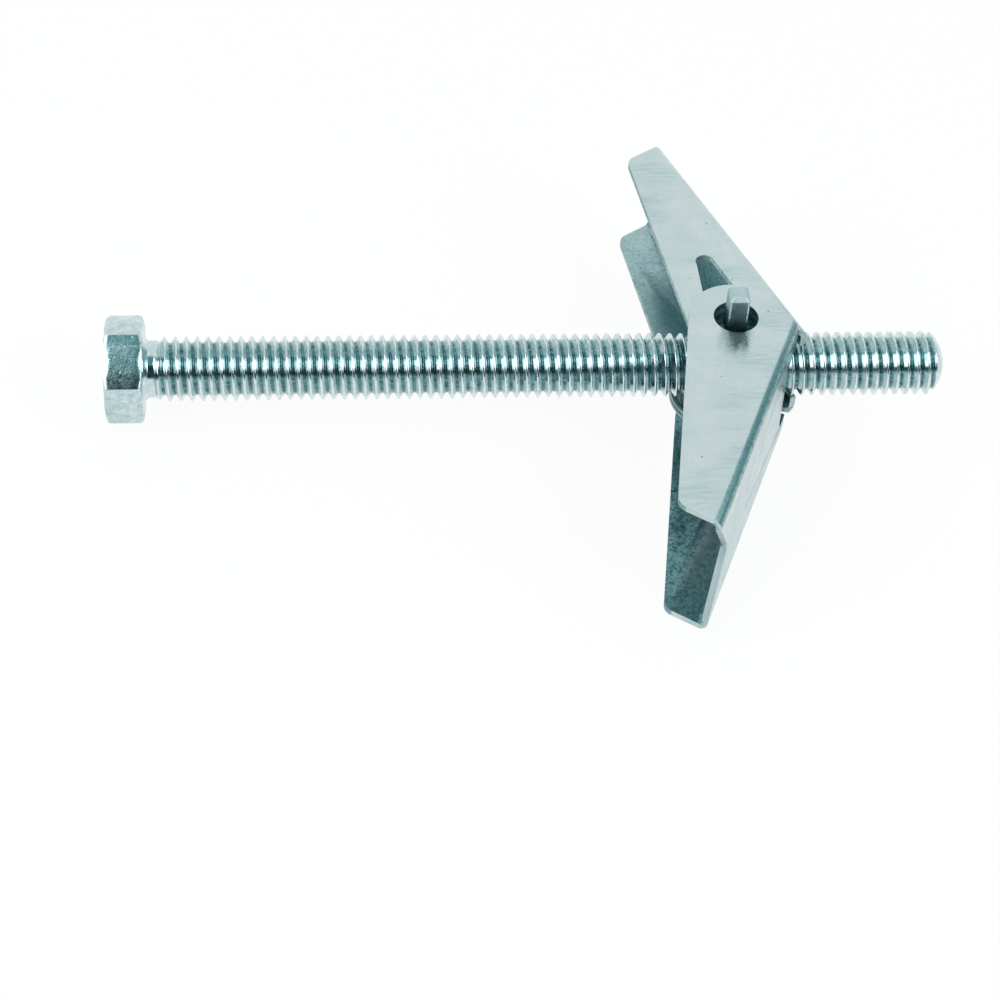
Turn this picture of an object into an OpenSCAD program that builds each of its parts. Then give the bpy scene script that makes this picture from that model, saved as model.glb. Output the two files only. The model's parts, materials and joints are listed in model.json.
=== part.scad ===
// Spring toggle bolt for hollow walls.
// A fully threaded hexagon-head screw carries a cross nut. Two folded sheet
// wings turn on the square lugs of the nut, and a torsion spring opens them.
// +X runs along the screw from head to tip, with X = 0 at the underside of
// the head. The lugs run along Z. The inner wing points to +Y, the outer to -Y.

/* [Screw] */
// Outside diameter of the thread
thread_diameter = 6; // [4:0.1:12]
// Length under the head
screw_length = 75; // [50:0.5:150]
// Length of the plain neck under the head
neck_length = 0.9; // [0.2:0.1:3]
// Depth of the neck below the thread crests
neck_depth = 0.35; // [0:0.05:0.8]
// Ring of the seat lost to the cone under the head, outside the thread crests
seat_relief = 0.05; // [0.02:0.01:0.5]
// How much larger the radius of the domed tip is than the radius of the thread
tip_flatness = 0.9; // [0:0.1:10]
// Distance across the flats of the head
head_across_flats = 8.9; // [7:0.1:18]
// Thickness of the head
head_thickness = 3.5; // [2:0.1:8]
// Width of the ring left flat on the end of the head, from its flats
head_face_inset = 0.1; // [0:0.05:1]
// Slope of the chamfer on the head corners
head_chamfer_angle = 18; // [15:1:45]
// Turn of the head about the screw
head_turn = 37.1; // [0:0.1:60]

/* [Nut] */
// Distance of the nut from the underside of the head
nut_position = 54.5; // [35:0.5:70]
// Wall of the round nut body beside the tapped hole
nut_wall = 1.1; // [0.8:0.05:3]
// Width of the lugs along the screw
lug_width = 1.9; // [1:0.1:4]
// Width of the lugs across the screw
lug_depth = 2.1; // [1:0.1:4]
// How far each lug would stand out of a centred outer wing
lug_stand_out = 2.05; // [0.5:0.05:5]
// Rounding of the long edges of the lugs
lug_edge_radius = 0.25; // [0.05:0.05:0.8]
// Chamfer on the rim of the nut body
nut_chamfer = 0.3; // [0.1:0.05:0.8]
// Gap between the ends of the nut body and the inner cheeks
shoulder_clearance = 0.05; // [0.02:0.01:0.3]
// Radial clearance of the tapped hole over the screw
thread_clearance = 0.05; // [0.01:0.01:0.1]

/* [Wings] */
// Thickness of the sheet
sheet = 0.6; // [0.4:0.05:1.2]
// Outside radius of the folds
fold_radius = 1; // [0.7:0.05:2]
// Free play of the inner wing between the cheeks of the outer one
wing_play = 2.3; // [0.4:0.1:5]
// Gap between the touching cheeks of the two wings
cheek_gap = 0.1; // [0.05:0.05:0.5]
// Gap between the coil and the inside of the web
web_clearance = 0.2; // [0.05:0.05:2]
// Width of the ear beside the lug hole
ear_wall = 2.3; // [1:0.1:4]
// Length of the cheek from the lugs to its free corner
free_length = 24.6; // [15:0.1:60]
// Extra length of the cheek on its web side
tip_slant = 0.9; // [0:0.1:3]
// Depth of the channel at the tip
tip_depth = 4.3; // [2.5:0.1:8]
// Radius of the free corner at the tip
tip_corner = 1.2; // [0.3:0.1:2.5]
// Play between the corners of a lug and its hole
lug_play = 0.68; // [0.1:0.02:1]
// Lean of the open wings towards the head
wing_lean = 22.4; // [5:0.1:45]
// Depth of the V notch in the end of the web
notch_depth = 4.1; // [0.5:0.1:8]
// Radius at the bottom of the V notch
notch_radius = 0.8; // [0.2:0.1:2]
// Reach of the inner web past the lugs, towards the other wing
inner_web_reach = 3.4; // [1:0.1:4]
// Gap between the ends of the two webs when the wings are open
stop_gap = 0.15; // [0.05:0.05:0.5]
// Land left on the inner web end beside the stop face of its ears
stop_relief = 0.05; // [0:0.05:0.5]
// Side clearance of the web slots over the screw
slot_clearance = 0.45; // [0.1:0.05:1.5]
// Depth of the web slots beyond the screw
slot_depth = 0.3; // [0.2:0.1:3]
// Radius of the inside corners of the web slots
slot_corner = 1.2; // [0.3:0.1:3]

/* [Window in the inner wing] */
// Distance from the lugs to the near end of the window
window_start = 4.4; // [3:0.1:8]
// Distance from the lugs to the far end of the window
window_end = 9.4; // [6:0.1:15]
// Distance from the lugs to the web side of the window
window_web_side = 2.35; // [1:0.05:3.5]
// Width of the window at its far end
window_end_width = 1.8; // [0.8:0.1:3]
// Width of the window at its near end
window_start_width = 3.3; // [1:0.1:4]

/* [Spring] */
// Diameter of the spring wire
wire = 0.55; // [0.3:0.05:1]
// Gap between neighbouring turns
turn_gap = 0.02; // [0.01:0.01:0.3]
// Whole turns of the coil
turns = 2; // [1:1:4]
// Play of the coil round the nut body
coil_play = 0.4; // [0.1:0.05:2]
// Shift of the loose coil towards the head
coil_shift = 0.3; // [0:0.05:0.8]
// Gap between the coil and the inner cheek beside it
coil_side_gap = 0.04; // [0.02:0.01:5]
// Gap between the coil and the screw
coil_gap = 0.04; // [0.02:0.01:0.3]
// Length of the spring legs from the lugs
leg_length = 10; // [5:0.5:20]
// Gap between a spring leg and the web it presses on
leg_gap = 0.03; // [0.01:0.01:0.3]

/* [Hidden] */
$fn = 96;
little = 0.01;
// Round corners stand this far past the straight edges they meet.
bite = 0.004;
steel = [0.72, 0.78, 0.78];
dark_steel = [0.50, 0.58, 0.58];

screw_radius = thread_diameter / 2;
head_corner_radius = head_across_flats / 2 / cos(30);
head_face_radius = head_across_flats / 2 - head_face_inset;
tip_radius = screw_radius + tip_flatness;
tip_sag = tip_radius - sqrt(tip_radius * tip_radius - screw_radius * screw_radius);

nut_radius = screw_radius + nut_wall;

function hundredths(v) = round(v * 100) / 100;

coil_inner_radius = nut_radius + coil_play;
coil_radius = coil_inner_radius + wire / 2;
coil_pitch = wire + turn_gap;
web_offset = coil_inner_radius + wire + web_clearance + sheet;

// The legs lean out from the coil until they meet the webs.
leg_rise = web_offset - sheet - leg_gap - wire / 2;
coil_to_web = coil_radius - coil_shift * cos(wing_lean);
leg_angle = atan2(leg_rise - coil_to_web, leg_length);
coil_start = wing_lean + leg_angle;
coil_end = -wing_lean - leg_angle - 360 * turns;
coil_drop = coil_pitch * (coil_start - coil_end) / 360;
coil_top = -screw_radius - coil_gap - wire / 2;
coil_bottom = coil_top - coil_drop;

// The coil fills the space between the screw and one inner cheek.
inner_clear = 2 * hundredths(wire / 2 - coil_bottom + coil_side_gap);
inner_wing_width = inner_clear + 2 * sheet;
outer_wing_width = inner_wing_width + wing_play + 2 * sheet;
nut_length = inner_clear - 2 * shoulder_clearance;

lug_hole = hundredths(norm([lug_width, lug_depth]) + 2 * lug_play);
ear_radius = lug_hole / 2 + ear_wall;
lug_span = outer_wing_width + 2 * lug_stand_out;

// The outer wing has slid along the lugs until it lies on the inner one.
outer_wing_shift = cheek_gap - wing_play / 2;

// A point of the open inner wing in the axes of the open outer wing, and back.
function other_wing(p) = [
    -p[0] * cos(2 * wing_lean) - p[1] * sin(2 * wing_lean),
    -p[0] * sin(2 * wing_lean) + p[1] * cos(2 * wing_lean)
];

// The inner web reaches past the screw, and the outer web ends just short of it.
inner_web_end = -inner_web_reach;
stop_face = hundredths(other_wing([inner_web_end, web_offset - sheet])[0] + stop_relief);
outer_web_end = stop_face + stop_gap;

inner_slot_half = screw_radius + slot_clearance;
outer_slot_half = inner_slot_half + abs(outer_wing_shift);
slot_bottom = hundredths(screw_radius / cos(wing_lean)
    - (web_offset - sheet) * tan(wing_lean) + slot_depth);

free_corner = [free_length, web_offset - tip_depth];
web_corner = [free_length + tip_slant, web_offset];

function unit(v) = v / norm(v);
function polar(r, a) = [r * cos(a), r * sin(a)];
// Point where a line from p touches the circle of radius r about the origin.
function touch(p, r, side) =
    polar(r, atan2(p[1], p[0]) + side * acos(r / norm(p)));

// Local axes x, y, z to part axes Y, Z, X.
module along_screw() {
    rotate(a = 120, v = [1, 1, 1]) children();
}

// Wing axes (out along the web, towards the web, along the lugs) to part axes.
module place_inner() {
    translate([nut_position, 0, 0]) rotate([0, 0, 90 + wing_lean])
        mirror([0, 1, 0]) children();
}

module place_outer() {
    translate([nut_position, 0, outer_wing_shift]) rotate([0, 0, -90 - wing_lean])
        children();
}

module screw() {
    color(steel) {
        along_screw() {
            intersection() {
                translate([0, 0, -head_thickness])
                    rotate([0, 0, head_turn])
                        cylinder(r = head_corner_radius, h = head_thickness + little, $fn = 6);
                head_turning();
            }
            shank();
        }
    }
}

// The turned outline that chamfers the corners of the head at both faces.
module head_turning() {
    slope = tan(head_chamfer_angle);
    reach = head_corner_radius + 1;
    outer_rise = (reach - head_face_radius) * slope;
    seat_radius = head_across_flats / 2 + 0.1;
    seat_rise = (reach - seat_radius) * slope;
    rotate_extrude()
        polygon([
            [0, -head_thickness],
            [head_face_radius, -head_thickness],
            [reach, -head_thickness + outer_rise],
            [reach, -seat_rise],
            [seat_radius, 0],
            [0, 0]
        ]);
}

// The neck meets the head in a small cone, so a plate clears it.
module shank() {
    neck_radius = screw_radius - neck_depth;
    root_cone = neck_depth + seat_relief;
    intersection() {
        rotate_extrude()
            polygon([
                [0, -little],
                [neck_radius + root_cone, -little],
                [neck_radius + root_cone, 0],
                [neck_radius, root_cone],
                [neck_radius, neck_length],
                [screw_radius, neck_length + neck_depth],
                [screw_radius, screw_length + 1],
                [0, screw_length + 1]
            ]);
        union() {
            translate([0, 0, screw_length - tip_radius])
                sphere(r = tip_radius);
            translate([0, 0, -1])
                cylinder(r = screw_radius + 1, h = screw_length - tip_sag + 1);
        }
    }
}

module nut() {
    color(dark_steel)
        translate([nut_position, 0, 0]) {
            difference() {
                rotate_extrude()
                    polygon([
                        [0, -nut_length / 2],
                        [nut_radius - nut_chamfer, -nut_length / 2],
                        [nut_radius, -nut_length / 2 + nut_chamfer],
                        [nut_radius, nut_length / 2 - nut_chamfer],
                        [nut_radius - nut_chamfer, nut_length / 2],
                        [0, nut_length / 2]
                    ]);
                rotate([0, 90, 0])
                    cylinder(r = screw_radius + thread_clearance, h = 2 * nut_radius + 2,
                        center = true);
            }
            lug();
            mirror([0, 0, 1]) lug();
        }
}

module lug() {
    length = lug_span / 2 - nut_length / 2 + nut_chamfer;
    translate([0, 0, nut_length / 2 - nut_chamfer])
        linear_extrude(length)
            lug_section();
}

module lug_section() {
    x = lug_width / 2 - lug_edge_radius;
    y = lug_depth / 2 - lug_edge_radius;
    square([2 * x, lug_depth], center = true);
    square([lug_width, 2 * y], center = true);
    for (i = [-1, 1])
        for (j = [-1, 1])
            translate([i * x, j * y]) circle(r = lug_edge_radius, $fn = 24);
}

// Outline of one cheek: round ear, straight tapered edges, rounded free corner.
module cheek(web_end) {
    ear_touch = touch(free_corner, ear_radius - bite, -1);
    back_touch = touch([web_end, web_offset], ear_radius - bite, 1);
    along_edge = unit(ear_touch - free_corner);
    along_end = unit(web_corner - free_corner);
    half_angle = acos(along_edge * along_end) / 2;
    corner_run = tip_corner / tan(half_angle);
    corner_centre = free_corner
        + unit(along_edge + along_end) * tip_corner / sin(half_angle);
    polygon([
        [0, 0],
        ear_touch,
        free_corner + along_edge * corner_run,
        corner_centre,
        free_corner + along_end * corner_run,
        web_corner,
        [web_end, web_offset],
        back_touch
    ]);
    circle(r = ear_radius);
    translate(corner_centre) circle(r = tip_corner + bite, $fn = 48);
}

// Section of the folded channel: x towards the web, y along the lugs.
module channel_section(width) {
    deep = 2 * web_offset + ear_radius;
    difference() {
        folded_block(width, web_offset, fold_radius, deep);
        folded_block(width - 2 * sheet, web_offset - sheet, fold_radius - sheet, deep + 1);
    }
}

// A block with two round corners towards the web.
module folded_block(width, top, radius, deep) {
    translate([top - radius - deep, -width / 2])
        square([deep, width]);
    translate([top - 2 * radius, -width / 2 + radius])
        square([2 * radius, width - 2 * radius]);
    for (i = [-1, 1])
        translate([top - radius, i * (width / 2 - radius)])
            circle(r = radius, $fn = 48);
}

module wing(width, web_end, slot_half) {
    long = 2 * (web_corner[0] + ear_radius);
    difference() {
        intersection() {
            rotate([90, 0, 90])
                translate([0, 0, -long / 2])
                    linear_extrude(long)
                        channel_section(width);
            translate([0, 0, -width / 2 - 1])
                linear_extrude(width + 2)
                    cheek(web_end);
        }
        lug_holes(width);
        web_slot(web_end, slot_half);
        web_head_cut(width, web_end);
        web_notch(width);
    }
}

module lug_holes(width) {
    cylinder(r = lug_hole / 2, h = width + 2, center = true);
}

// Squares off the web end between the ears.
module web_head_cut(width, web_end) {
    translate([web_end - 2 * ear_radius, web_offset - fold_radius, sheet - width / 2])
        cube([2 * ear_radius, fold_radius + 1, width - 2 * sheet]);
}

// Open slot that lets the screw through the web as the wing turns.
module web_slot(web_end, slot_half) {
    start = web_end - 2 * slot_corner;
    translate([0, web_offset - fold_radius - little, 0])
        rotate([-90, 0, 0])
            linear_extrude(fold_radius + 1) {
                translate([start, -slot_half])
                    square([slot_bottom - slot_corner - start, 2 * slot_half]);
                translate([start, -slot_half + slot_corner])
                    square([slot_bottom - start, 2 * (slot_half - slot_corner)]);
                for (i = [-1, 1])
                    translate([slot_bottom - slot_corner, i * (slot_half - slot_corner)])
                        circle(r = slot_corner, $fn = 48);
            }
}

// V notch in the free end of the web, up to the inside of the folds.
module web_notch(width) {
    half = width / 2 - fold_radius;
    bottom = web_corner[0] - notch_depth;
    slope = atan2(notch_depth, half);
    centre = bottom + notch_radius / cos(slope) - notch_radius * (1 / cos(slope) - 1);
    side = [centre - notch_radius * cos(slope), notch_radius * sin(slope)];
    translate([0, web_offset - fold_radius, 0])
        rotate([-90, 0, 0])
            linear_extrude(fold_radius + 1) {
                polygon([
                    [side[0], -side[1]],
                    [web_corner[0], -half],
                    [web_corner[0] + 2, -half],
                    [web_corner[0] + 2, half],
                    [web_corner[0], half],
                    [side[0], side[1]],
                    [centre, 0]
                ]);
                translate([centre, 0]) circle(r = notch_radius + bite, $fn = 48);
            }
}

module window_cut() {
    end_radius = window_end_width / 2;
    linear_extrude(inner_wing_width + 2, center = true) {
        polygon([
            [window_start, window_web_side - window_start_width],
            [window_end - end_radius, window_web_side - window_end_width],
            [window_end - end_radius, window_web_side],
            [window_start, window_web_side]
        ]);
        translate([window_end - end_radius, window_web_side - end_radius])
            circle(r = end_radius, $fn = 48);
    }
}

// Room for the outer web behind the inner ears, whose face is the opening stop.
module stop_cut() {
    face_bottom = web_offset - fold_radius - stop_gap;
    size = 2 * web_offset;
    corners = [
        [stop_face, face_bottom],
        [stop_face + size, face_bottom],
        [stop_face + size, face_bottom + size],
        [stop_face, face_bottom + size]
    ];
    linear_extrude(inner_wing_width + 2, center = true)
        polygon([for (p = corners) other_wing(p)]);
}

module inner_wing() {
    color(steel)
        place_inner()
            difference() {
                wing(inner_wing_width, inner_web_end, inner_slot_half);
                window_cut();
                stop_cut();
            }
}

module outer_wing() {
    color(steel)
        place_outer()
            wing(outer_wing_width, outer_web_end, outer_slot_half);
}

// Path of the spring wire: leg on the inner web, coil, leg on the outer web.
steps = 28 * turns;
leg_steps = 4;
wire_sides = 10;

function wing_point(side, out, rise) = [
    nut_position - out * sin(wing_lean) + rise * cos(wing_lean),
    side * (out * cos(wing_lean) + rise * sin(wing_lean))
];
function coil_point(a) = [
    nut_position - coil_shift + coil_radius * cos(a),
    coil_radius * sin(a)
];
function blend(a, b, t) = a + (b - a) * t;

inner_leg_end = wing_point(1, leg_length, leg_rise);
outer_leg_end = wing_point(-1, leg_length, leg_rise);

path = concat(
    [for (i = [0 : leg_steps - 1])
        let (p = blend(inner_leg_end, coil_point(coil_start), i / leg_steps))
        [p[0], p[1], coil_top]],
    [for (i = [0 : steps])
        let (t = i / steps, p = coil_point(blend(coil_start, coil_end, t)))
        [p[0], p[1], blend(coil_top, coil_bottom, t)]],
    [for (i = [1 : leg_steps])
        let (p = blend(coil_point(coil_end), outer_leg_end, i / leg_steps))
        [p[0], p[1], coil_bottom]]
);

function heading(i) =
    let (last = len(path) - 1)
    unit(path[min(i + 1, last)] - path[max(i - 1, 0)]);
function ring(i) =
    let (h = heading(i), side = unit(cross(h, [0, 0, 1])), up = cross(side, h))
    [for (k = [0 : wire_sides - 1])
        let (a = 360 * k / wire_sides)
        path[i] + wire / 2 * (side * cos(a) + up * sin(a))];

module spring() {
    rings = len(path);
    points = [for (i = [0 : rings - 1]) each ring(i)];
    sides = [for (i = [0 : rings - 2])
        for (k = [0 : wire_sides - 1])
            let (a = i * wire_sides + k, b = i * wire_sides + (k + 1) % wire_sides)
            [a, b, b + wire_sides, a + wire_sides]];
    start_cap = [[for (k = [wire_sides - 1 : -1 : 0]) k]];
    end_cap = [[for (k = [0 : wire_sides - 1]) (rings - 1) * wire_sides + k]];
    color(dark_steel)
        polyhedron(points, concat(sides, start_cap, end_cap), convexity = 6);
}

screw();
nut();
inner_wing();
outer_wing();
spring();
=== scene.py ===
"""Spring toggle bolt: threaded screw, cross nut, two folded wings, torsion spring and stage."""

import json
import math

import bmesh
import bpy
import numpy as np
from mathutils import Matrix, Vector


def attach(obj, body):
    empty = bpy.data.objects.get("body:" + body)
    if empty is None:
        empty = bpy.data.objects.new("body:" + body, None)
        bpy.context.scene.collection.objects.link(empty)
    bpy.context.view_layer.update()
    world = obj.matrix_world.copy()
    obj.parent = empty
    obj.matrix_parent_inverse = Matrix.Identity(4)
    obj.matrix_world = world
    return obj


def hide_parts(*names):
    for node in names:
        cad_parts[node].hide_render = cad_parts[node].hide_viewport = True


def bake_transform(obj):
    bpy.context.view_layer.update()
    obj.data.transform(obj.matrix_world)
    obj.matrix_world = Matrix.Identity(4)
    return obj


bl_info = {
    "name": "Spring Toggle Bolt",
    "version": (1, 0, 0),
    "blender": (4, 5, 0),
    "location": "View3D > Sidebar > Toggle Bolt",
    "description": "Builds the finished pieces of a spring toggle bolt on its packed frame",
    "category": "Object",
}

MM = 0.001
TURN = 2 * math.pi

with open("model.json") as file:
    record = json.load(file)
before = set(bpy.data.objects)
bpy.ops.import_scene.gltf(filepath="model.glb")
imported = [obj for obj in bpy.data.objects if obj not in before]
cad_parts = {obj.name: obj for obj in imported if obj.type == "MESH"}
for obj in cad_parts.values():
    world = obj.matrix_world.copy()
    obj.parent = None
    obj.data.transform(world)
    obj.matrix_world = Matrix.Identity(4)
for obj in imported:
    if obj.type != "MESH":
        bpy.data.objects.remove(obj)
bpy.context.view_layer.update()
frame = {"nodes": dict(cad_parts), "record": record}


# Sizes taken from the frame


def points_of(mesh):
    """Every point of a mesh, as rows of x, y and z."""
    points = np.empty(len(mesh.vertices) * 3, np.float32)
    mesh.vertices.foreach_get("co", points)
    return points.reshape(-1, 3).astype(float)


def cad_points(node):
    """Every corner of a CAD node's mesh, as rows of x, y and z."""
    return points_of(frame["nodes"][node].data)


def radius_between(points, low, high):
    """Largest distance from the screw's axis of the points with x from low to high."""
    inside = (points[:, 0] >= low) & (points[:, 0] <= high)
    return float(np.hypot(points[inside, 1], points[inside, 2]).max())


def joint_point(name):
    """The point on a hinge's axis, in metres."""
    for joint in frame["record"]["behaviour"]["joints"]:
        if joint["name"] == name:
            return Vector(joint["pos_m"])
    raise RuntimeError(f"the record has no joint {name}")


SCREW = cad_points("screw")
SCREW_LENGTH = float(SCREW[:, 0].max())
HEAD_THICKNESS = -float(SCREW[:, 0].min())
THREAD_RADIUS = radius_between(SCREW, 5 * MM, SCREW_LENGTH)
PIVOT = joint_point("inner_wing_fold")


# Values of the bolt and stage

# Lean of the open wings towards the head, and half the floor's width in metres
WING_LEAN = math.radians(22.4)
FLOOR_HALF = 1.0

# Bend between two faces, in degrees, where wear starts and where it is full
RIM_START = 16
RIM_FULL = 28

# Edges sharper than this, in degrees, are rounded on the head and nut, and on the sheet
SOLID_CORNER = 30
SHEET_CORNER = 35

# How squarely a face must look one way to be taken for a side
SQUARE = 0.7
MOSTLY = 0.6
HALFWAY = 0.5
SLIGHTLY = 0.3

# How much painted shade each place of a folded wing gets, from 0 to 1
INSIDE_PAINTED_SHADE = {"inner_wing": 0.48, "outer_wing": 0.92}
HEAD_SIDE_PAINTED_SHADE = 0.7
TIP_SIDE_PAINTED_SHADE = 0.22
ROOF_PAINTED_SHADE = 0.15
FOLD_PAINTED_SHADE = 0.6

# Painted shade on the lugs' sides, and how far the painted shade on the barrel reaches past the
# coil
LUG_PAINTED_SHADE = 0.2
BARREL_SHADE_REACH = 0.3 * MM

# Share of the thread's depth where painted shade in a groove starts, and the share to full
GROOVE_START = 0.80
GROOVE_SPAN = 0.18

# Steps across and along a facet of the head, and the cones on the head's two faces
FACET_STEPS = 20
FACET_ROWS = 24
CONE_SLOPE = math.tan(math.radians(18))
SEAT_WIDTH = 0.1 * MM
FACE_SHARE = 0.88

# Width of a facet's curved-in ends, and how its curves set in
END_WIDTH = 0.42
DROP_POWER = 2.5
ROUND_POWER = 1.5
CROWN_POWER = 3

# Shares of one pitch from the middle of a crest to where its flank starts and ends
CREST_SHARE = 1 / 16
FLANK_SHARE = 7 / 16

# Straight steps round the wire and along a spring leg
WIRE_STEPS = 16
LEG_STEPS = 12

# Colours of the plating's pits and of the studio's walls
PIT_COLOUR = (0.12, 0.2, 0.2, 1.0)
ROOM_COLOUR = (0.93, 0.95, 0.95, 1.0)

# The soft boxes: side, and angles of the lower and upper edge; and where they aim
SOFT_BOXES = {"Left box": (-1, 93, 137), "Right box": (1, 103, 143)}
BOX_DISTANCE = 0.6
BOX_ASIDE = math.radians(40)
BOX_HALF_WIDTH = math.radians(19)
MIDDLE = (0.035, 0.0, 0.0)

# The camera: focal length in millimetres, shift, place, way right and way back
CAMERA_LENS = 96.43
CAMERA_SHIFT = (-0.0957, -0.0971)
CAMERA_PLACE = (0.0139, -0.17844, 0.17479)
CAMERA_RIGHT = (0.9938, -0.0852, 0.0719)
CAMERA_BACK = (-0.111, -0.7001, 0.7054)


# Size and colour groups


def size(name, text, value, low, high):
    """A length in millimetres that a user may change."""
    return bpy.props.FloatProperty(
        name=name, description=text, default=value * MM, min=low * MM, max=high * MM,
        precision=5, subtype="DISTANCE", unit="LENGTH",
    )


def count(name, text, value, low, high):
    """A whole number that a user may change."""
    return bpy.props.IntProperty(name=name, description=text, default=value, min=low, max=high)


def tint(name, text, value):
    """A linear colour that a user may change."""
    return bpy.props.FloatVectorProperty(
        name=name, description=text, default=value, size=3, min=0, max=1, subtype="COLOR",
    )


class ToggleScrewSizes(bpy.types.PropertyGroup):
    """Thread and head of the screw."""

    pitch: size("Pitch", "Distance between neighbouring thread crests", 1.0, 0.5, 2.0)
    thread_depth: size("Thread depth", "From crest to root, on the radius", 0.613, 0.2, 1.2)
    neck_length: size("Neck length", "Plain neck under the head", 0.9, 0.1, 3.0)
    neck_depth: size("Neck depth", "Depth of the neck below the thread crests", 0.35, 0, 0.8)
    thread_start: bpy.props.FloatProperty(
        name="Thread start", description="Turns the thread about the screw",
        default=math.radians(97), min=-math.pi, max=math.pi, subtype="ANGLE", unit="ROTATION",
    )
    root_cone: size("Root cone", "Height of the cone where neck and head meet", 0.4, 0, 1)
    tip_radius: size("Tip radius", "Radius of the domed end", 3.9, 3.05, 12)
    head_edge: size("Head edge", "Rounding between the facets of the head", 0.16, 0.05, 0.6)
    facet_curve: size("Facet curve", "Length over which a facet's ends curve in", 0.65, 0.2, 1.7)
    facet_crown: size("Facet crown", "Fall of a facet from its middle to a corner", 0.12, 0, 0.3)
    end_roundness: bpy.props.FloatProperty(
        name="End roundness", description="Ends of the head, from hexagon to circle",
        default=0.1, min=0, max=1, subtype="FACTOR",
    )
    facet_drop: size("Facet drop", "How far a facet curves in at its ends", 0.14, 0.0, 0.5)
    steps_round: count("Steps round", "Straight steps in one turn of the thread", 56, 24, 96)
    steps_across: count("Steps across", "Steps across one pitch, a multiple of 16", 16, 16, 48)


class ToggleSheetSizes(bpy.types.PropertyGroup):
    """Edges of the two wings and of the nut."""

    sheet_edge: size("Sheet edge", "Rounding of the cut edges of the sheet", 0.12, 0.01, 0.25)
    nut_edge: size("Nut edge", "Rounding of the edges of the nut", 0.08, 0.01, 0.25)
    lug_chamfer: size("Lug chamfer", "Chamfer round the end of each lug", 0.36, 0.01, 0.8)


class ToggleSpringSizes(bpy.types.PropertyGroup):
    """Wire and path of the torsion spring."""

    wire: size("Wire", "Diameter of the spring wire", 0.55, 0.3, 1.0)
    turn_gap: size("Turn gap", "Gap between neighbouring turns", 0.02, 0.01, 0.3)
    turns: count("Turns", "Whole turns of the coil", 2, 1, 4)
    coil_radius: size("Coil radius", "Radius of the coil to the middle of the wire", 4.775, 3, 8)
    coil_shift: size("Coil shift", "Shift of the loose coil towards the head", 0.3, 0, 0.8)
    coil_gap: size("Coil gap", "Gap between the coil and the screw", 0.04, 0.02, 0.3)
    leg_length: size("Leg length", "Reach of the legs along the webs", 10, 5, 20)
    leg_rise: size("Leg rise", "Distance from the lugs to the middle of a leg's end", 4.945, 3, 8)
    steps_round: count(
        "Steps round",
        "Straight steps in one turn of the coil; with 64 it cuts into the nut when wound",
        144, 24, 200,
    )


class ToggleFinish(bpy.types.PropertyGroup):
    """Colours of the plating and of the stage."""

    plating: tint("Plating", "Bright plating on the sheet and the nut", (0.63, 0.71, 0.72))
    plating_deep: tint("Deep plating", "Darker crystals in the plating", (0.25, 0.46, 0.48))
    # Painted shade colour for the thread's grooves, the wings' inside, webs and outer fold, and,
    # halved, the nut's barrel and lugs
    painted_shade_plating: tint("Painted shade plating", "Painted shade in grooves, hollows and folds", (0.15, 0.35, 0.375))
    thread_plating: tint("Thread plating", "Bright plating on the screw", (0.78, 0.84, 0.85))
    wire_steel: tint("Wire steel", "Drawn spring wire", (0.26, 0.38, 0.385))
    floor: tint("Floor", "Pale floor", (0.93, 0.94, 0.94))
    front_card: tint("Front card", "Dull upper front of the studio", (0.10, 0.29, 0.31))
    dark_card: tint("Dark card", "Dark lower front of the studio", (0.008, 0.04, 0.043))
    lamp_level: bpy.props.FloatProperty(
        name="Lamp level", description="Brightness of the two soft boxes against a white sheet",
        default=3.2, min=0.1, max=20,
    )
    end_card: tint("End cards", "Dull ends of the studio", (0.22, 0.42, 0.44))


# Node tree helpers


class Formula:
    """Adds math nodes to a tree. Each value is a number or an output socket."""

    def __init__(self, tree):
        self.tree = tree

    def put(self, socket, value):
        if isinstance(value, bpy.types.NodeSocket):
            self.tree.links.new(value, socket)
        else:
            socket.default_value = value

    def math(self, operation, *values):
        node = self.tree.nodes.new("ShaderNodeMath")
        node.operation = operation
        for socket, value in zip(node.inputs, values):
            self.put(socket, value)
        return node.outputs[0]

    def add(self, a, b):
        return self.math("ADD", a, b)

    def sub(self, a, b):
        return self.math("SUBTRACT", a, b)

    def mul(self, a, b):
        return self.math("MULTIPLY", a, b)

    def least(self, a, b):
        return self.math("MINIMUM", a, b)

    def most(self, a, b):
        return self.math("MAXIMUM", a, b)

    def ramp(self, value, low, high, soft=False):
        """Rises from 0 at low to 1 at high."""
        node = self.tree.nodes.new("ShaderNodeMapRange")
        node.interpolation_type = "SMOOTHSTEP" if soft else "LINEAR"
        self.put(node.inputs["Value"], value)
        self.put(node.inputs["From Min"], low)
        self.put(node.inputs["From Max"], high)
        return node.outputs["Result"]

    def mix(self, amount, a, b):
        """a where amount is 0 and b where it is 1."""
        return self.add(a, self.mul(amount, self.sub(b, a)))

    def total(self, first, *parts):
        """The first value plus every other value times its share."""
        for value, part in parts:
            first = self.add(first, self.mul(value, part))
        return first


def geometry_tree(name, sizes, counts):
    """A new geometry tree with named inputs, and its Formula, input and output nodes."""
    tree = bpy.data.node_groups.new(name, "GeometryNodeTree")
    tree.interface.new_socket("Geometry", in_out="OUTPUT", socket_type="NodeSocketGeometry")
    for label in sizes:
        tree.interface.new_socket(label, in_out="INPUT", socket_type="NodeSocketFloat")
    for label in counts:
        tree.interface.new_socket(label, in_out="INPUT", socket_type="NodeSocketInt")
    tree.interface.new_socket("Material", in_out="INPUT", socket_type="NodeSocketMaterial")
    source = tree.nodes.new("NodeGroupInput")
    sink = tree.nodes.new("NodeGroupOutput")
    return tree, Formula(tree), source.outputs, sink


def place_vector(tree, x, y, z):
    """A vector socket made from three values."""
    node = tree.nodes.new("ShaderNodeCombineXYZ")
    formula = Formula(tree)
    for socket, value in zip(node.inputs, (x, y, z)):
        formula.put(socket, value)
    return node.outputs[0]


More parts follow.
